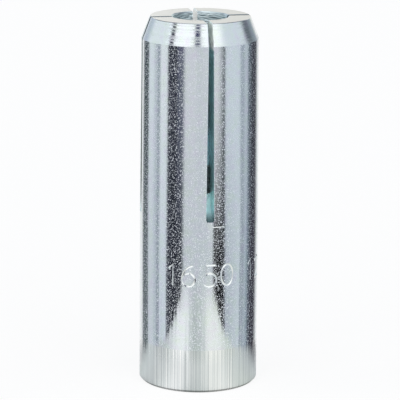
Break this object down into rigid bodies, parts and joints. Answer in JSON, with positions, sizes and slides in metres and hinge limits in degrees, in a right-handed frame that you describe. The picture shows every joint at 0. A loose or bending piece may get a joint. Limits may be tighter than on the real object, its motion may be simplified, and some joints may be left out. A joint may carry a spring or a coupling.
{
  "type": "drop-in expansion anchor",
  "caption": "Zinc-plated steel drop-in anchor: a tubular sleeve with an internal metric thread, a knurled mouth, a slotted bevelled end and a loose cone plug inside.",
  "frame": {"origin": "centre of the sleeve's threaded mouth face, the end that it stands on", "axes": "+Z along the sleeve's axis, from the threaded mouth up to the slotted end; two of the slots lie along +X and -X and two along +Y and -Y"},
  "size_m": [0.016, 0.016, 0.05],
  "materials": {
    "zinc_plated_steel": "bright zinc plate, passivated pale blue, over turned and sawn steel",
    "plug_steel": "zinc-plated cold-formed steel"
  },
  "bodies": {
    "root": {"sleeve": "zinc_plated_steel", "expander_plug": "plug_steel"}
  },
  "joints": []
}
